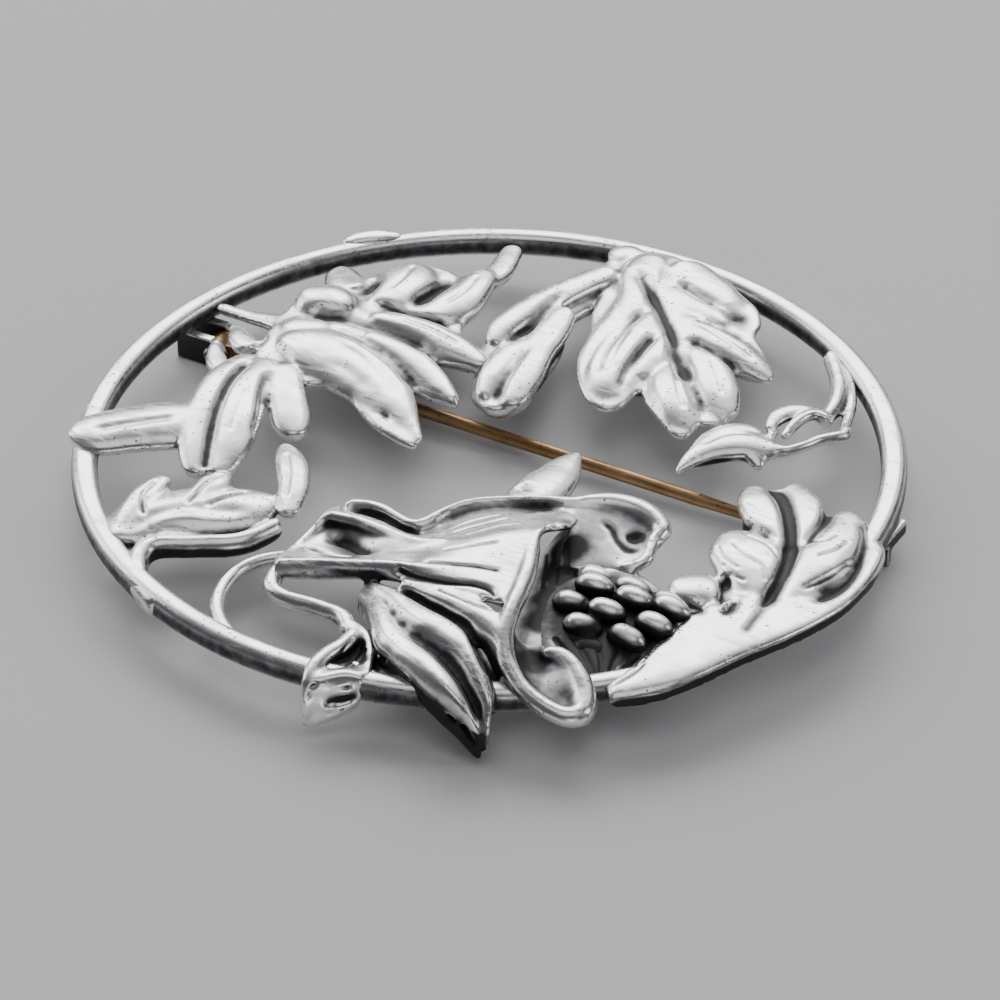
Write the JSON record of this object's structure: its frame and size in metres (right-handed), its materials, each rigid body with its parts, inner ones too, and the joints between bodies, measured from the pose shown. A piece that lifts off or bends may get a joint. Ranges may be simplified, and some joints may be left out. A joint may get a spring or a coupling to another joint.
{
  "type": "floral openwork brooch",
  "caption": "Round openwork silver brooch: a wire ring filled with cast flowers, a bud and leaves in relief, with a hinged brass pin behind it.",
  "frame": {"origin": "centre of the ring, on the surface that the brooch's back rests on", "axes": "+Z out of the decorated front, +X along the pin from its hinge to its catch, +Y towards the top as worn"},
  "size_m": [0.0571, 0.0576, 0.0065],
  "materials": {
    "silver": "polished silver, oxidised dark in its recesses",
    "brass_wire": "worn, slightly dull brass wire"
  },
  "bodies": {
    "brooch": {"openwork": "silver"},
    "pin": {"pin_stem": "brass_wire"}
  },
  "joints": [
    {"name": "pin_hinge", "type": "hinge", "parent": "brooch", "child": "pin", "pos_m": [-0.02421, 0.0046, 0.001], "axis": [0, 1, 0], "range_deg": [0, 85]}
  ]
}
